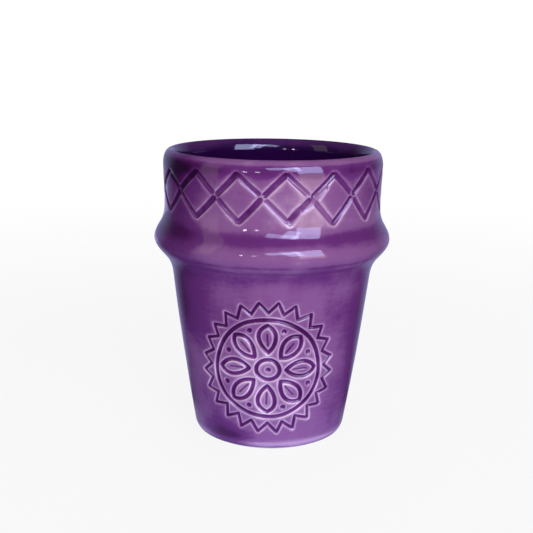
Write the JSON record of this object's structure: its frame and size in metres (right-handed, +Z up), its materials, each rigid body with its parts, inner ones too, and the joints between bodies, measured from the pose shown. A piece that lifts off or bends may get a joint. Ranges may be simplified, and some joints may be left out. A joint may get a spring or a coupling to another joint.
{
  "type": "handleless cup",
  "caption": "Handleless glazed ceramic cup for hot drinks: tapering body on a flat foot, bulging ring, upright collar with a carved lozenge band, and a carved rosette on the front.",
  "frame": {"origin": "centre of the foot's flat face, where the cup meets the table", "axes": "+Z up along the cup's axis, the decorated front faces -Y, +X to the right as seen from the front"},
  "size_m": [0.0854, 0.0854, 0.105],
  "materials": {
    "fired_clay": "matt, bare fired clay",
    "outer_glaze": "gloss, milky purple glaze that pools dark in the carving",
    "liner_glaze": "gloss, deep purple glaze",
    "base_glaze": "gloss, purple glaze"
  },
  "bodies": {
    "root": {"clay_body": "fired_clay", "outer_glaze": "outer_glaze", "liner_glaze": "liner_glaze", "base_glaze": "base_glaze"}
  },
  "joints": []
}
